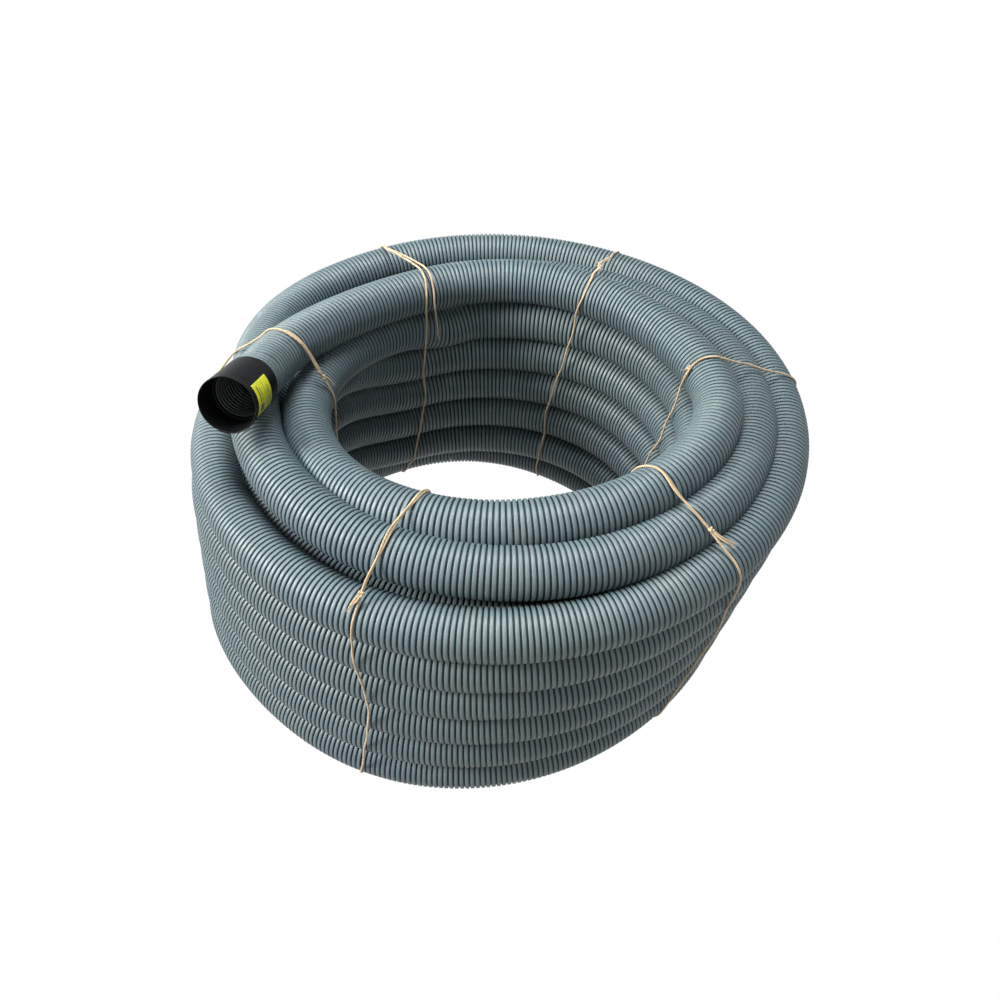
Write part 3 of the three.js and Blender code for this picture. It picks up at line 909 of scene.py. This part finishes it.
def make_tie(name, angles, knot, tails, seconds):
    angle = angles[1]
    pick = random.Random(name)
    outline, (middle, out, up, normal) = tie_outline(angle)
    wanted_place = to_frame(spot(knot[0], angle, knot[1]))[0] - middle
    wanted = np.array([wanted_place @ out, wanted_place @ up])
    flat = even_loop(outline, 0.002)
    start = np.argmin(((flat - wanted) ** 2).sum(1))
    flat = soften(np.roll(flat, -start, 0), 6)
    count = len(flat)
    part = np.arange(count) / count
    centre = flat.mean(0)
    outward = flat - centre
    outward /= np.linalg.norm(outward, axis=1)[:, None]
    round_angle = np.degrees(np.arctan2(outward[:, 1], outward[:, 0]))
    stray = soften(np.interp(round_angle, STATIONS, angles, period=360) - angle, 400)
    wander = sum(
        pick.uniform(0.0006, 0.0016) * np.sin(2 * np.pi * (k * part + pick.random())) for k in (7, 11, 17)
    )
    slack = 0.0006 * (1 + np.sin(2 * np.pi * (4 * part + pick.random())))
    flat = flat + outward * slack[:, None]
    away = outward[:, :1] * out + outward[:, 1:] * up
    loop = middle + flat[:, :1] * out + flat[:, 1:] * up + wander[:, None] * normal
    loop = turned_about_coil(loop, stray)
    loop = tighten(loop, normal, 24)
    pile = Pile()
    closed = np.vstack([loop, loop[:1]])
    pile.tube(strand_rings(closed, TWINE / 2))

    # second strands beside it
    for first, last, aside in seconds:
        picked = np.arange(round(first * count), round(last * count) + 1) % count
        lift = np.sin(np.pi * np.linspace(0, 1, len(picked))) ** 0.6
        weave = np.cos(2 * np.pi * (last - first) * 16 * np.linspace(0, 1, len(picked)))
        sway = aside * lift * (0.6 + 0.4 * weave)
        line = beside(loop[picked], away[picked], normal, sway, 0.001 + 0.001 * lift)
        line = clear_of_hose(line, TWINE / 2 - 0.0003)
        pile.tube(strand_rings(line, TWINE / 2.1, 1.0))

    # the knot: two turns pulled tight about the strand
    ahead = loop[3] - loop[-3]
    ahead /= np.linalg.norm(ahead)
    outwards = away[0] - ahead * (away[0] @ ahead)
    outwards /= np.linalg.norm(outwards)
    across = np.cross(ahead, outwards)
    knot_centre = loop[0] + outwards * 0.0012
    turn = np.linspace(0, 2 * np.pi, 60)
    trefoil = (
        np.outer(np.sin(turn) + 2 * np.sin(2 * turn), across) * 0.0013
        + np.outer(np.cos(turn) - 2 * np.cos(2 * turn), ahead) * 0.0013
        - np.outer(np.sin(3 * turn), outwards) * 0.0016
    )
    pile.tube(strand_rings(knot_centre + outwards * 0.0012 + trefoil, TWINE / 2.2, 0.5))

    # the tails, which lie along the loop
    for length, aside, way in tails:
        picked = way * np.arange(max(4, round(length / 0.002))) % count
        go = np.linspace(0, 1, len(picked))
        bow = pick.uniform(-0.15, 0.15) * length * np.sin(np.pi * go) * min(1.0, 0.03 / length)
        spread_aside = aside * go ** (2.4 if length > LONG_TAIL else 0.8) + bow
        route = beside(loop[picked], away[picked], normal, spread_aside, 0.0026 + 0.002 * go)
        route = clear_of_hose(route, TWINE)
        line = smooth_path(np.vstack([knot_centre, route[3:]]), 0.0012)
        thick = np.interp(np.linspace(0, 1, len(line)), [0, 0.8, 1], [TWINE / 2.2, TWINE / 2.1, TWINE / 3])
        pile.tube(strand_rings(line, thick, pick.random() * 3))
        end, heading = line[-1], line[-1] - line[-3]
        heading /= np.linalg.norm(heading)
        for _ in range(18):
            spread = np.array([pick.gauss(0, 1) for _ in range(3)])
            reach = pick.uniform(0.004, 0.011)
            steps = np.linspace(0, 1, 5)[:, None]
            fray = end - heading * 0.002 + steps * reach * heading + steps**1.5 * spread * reach * 0.32
            pile.thread(fray, 0.00022)

    # loose fibres
    for _ in range(90):
        i = pick.randrange(count - 1)
        heading = loop[i + 1] - loop[i]
        heading /= np.linalg.norm(heading)
        aside = pick.choice((-1, 1)) * normal + away[i] * pick.uniform(0.0, 0.8)
        steps = np.linspace(0, 1, 4)[:, None]
        reach = pick.uniform(0.002, 0.006)
        curl = np.array([pick.gauss(0, 0.3) for _ in range(3)])
        fibre = loop[i] + aside * 0.001 + steps * reach * (heading * pick.uniform(0.4, 1) + aside * 0.5)
        fibre = fibre + steps**2 * reach * curl
        if fibre[:, 2].min() > 0.0005:
            pile.thread(fibre, 0.00013)

    obj = pile.build(name + "_twine")
    set_materials(obj, TWINE_MATERIAL)
    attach(obj, "root")
    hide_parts(name)


for name, facts in TIES.items():
    make_tie(name, *facts)

# ---------------------------------------------------------------- floor and light
def make_floor():
    m = bpy.data.materials.new("floor_white")
    m.use_nodes = True
    nodes = m.node_tree.nodes
    nodes.clear()
    out = nodes.new("ShaderNodeOutputMaterial")
    glow = nodes.new("ShaderNodeEmission")
    glow.inputs["Color"].default_value = (1.0, 1.0, 1.0, 1.0)
    glow.inputs["Strength"].default_value = FLOOR_GLOW
    m.node_tree.links.new(glow.outputs["Emission"], out.inputs["Surface"])
    ground = -0.004
    corners = [(-9, -9, ground), (9, -9, ground), (9, 9, ground), (-9, 9, ground)]
    floor = mesh_object("floor", np.array(corners), np.array([[0, 1, 2, 3]]), smooth=False)
    set_materials(floor, m)


def make_light(name, place, size, power, colour=(1.0, 1.0, 1.0), aim=(0.0, 0.0, 0.3)):
    data = bpy.data.lights.new(name, "AREA")
    data.shape = "DISK"
    data.size = size
    data.energy = power
    data.color = colour
    lamp = bpy.data.objects.new(name, data)
    SCENE.collection.objects.link(lamp)
    lamp.location = place
    lamp.rotation_euler = (Vector(aim) - Vector(place)).to_track_quat("-Z", "Y").to_euler()


FLOOR_GLOW = 1.0
make_floor()
world = bpy.data.worlds.new("world")
SCENE.world = world
world.use_nodes = True
sky = world.node_tree.nodes["Background"]
sky.inputs["Color"].default_value = (0.93, 0.97, 1.0, 1.0)
sky.inputs["Strength"].default_value = 0.72
make_light("key", (-4.2, -1.6, 3.2), 1.8, 910, (1.0, 0.99, 0.96))
make_light("top", (-0.2, 0.5, 4.2), 2.2, 370, (0.95, 0.985, 1.0))
make_light("front", (0.6, -4.2, 2.6), 1.6, 48, (0.98, 0.99, 1.0))
SCENE.view_settings.view_transform = "Standard"
